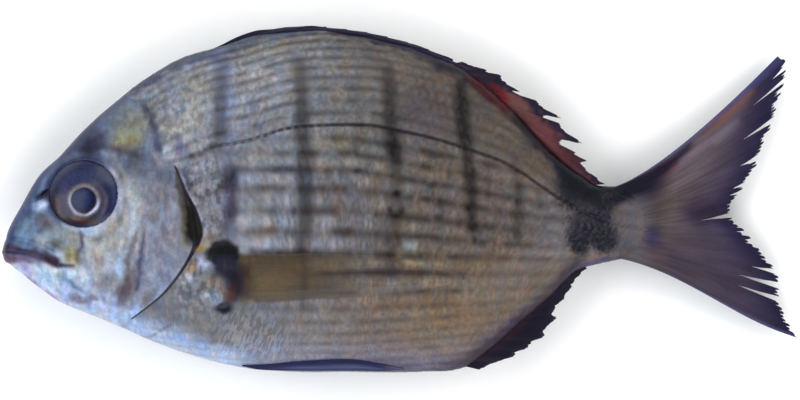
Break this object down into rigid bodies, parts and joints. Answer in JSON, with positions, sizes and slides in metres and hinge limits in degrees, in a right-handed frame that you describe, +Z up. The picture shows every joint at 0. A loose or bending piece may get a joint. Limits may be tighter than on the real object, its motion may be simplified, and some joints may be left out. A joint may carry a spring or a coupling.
{
  "type": "whole raw fish",
  "caption": "Whole raw sea bream, uncut, lying on its right flank with its fins folded and its ragged tail fin spread.",
  "frame": {"origin": "on the surface that carries the fish, below the middle of its outline", "axes": "+X from the snout to the tail, +Y from the belly to the back, +Z up out of the left flank"},
  "size_m": [0.2498, 0.1086, 0.0363],
  "materials": {
    "skin": "wet silver scales over grey-brown skin",
    "fin": "moist dark fin skin between rays",
    "pectoral": "moist thin brown fin skin",
    "eye": "clear wet eye, dark iris with a silver ring"
  },
  "bodies": {
    "root": {"body": "skin", "dorsal_fin": "fin", "anal_fin": "fin", "tail_fin": "fin", "eye_left": "eye", "eye_right": "eye", "pectoral_fin_left": "pectoral", "pectoral_fin_right": "pectoral", "pelvic_fin_left": "fin", "pelvic_fin_right": "fin"}
  },
  "joints": []
}
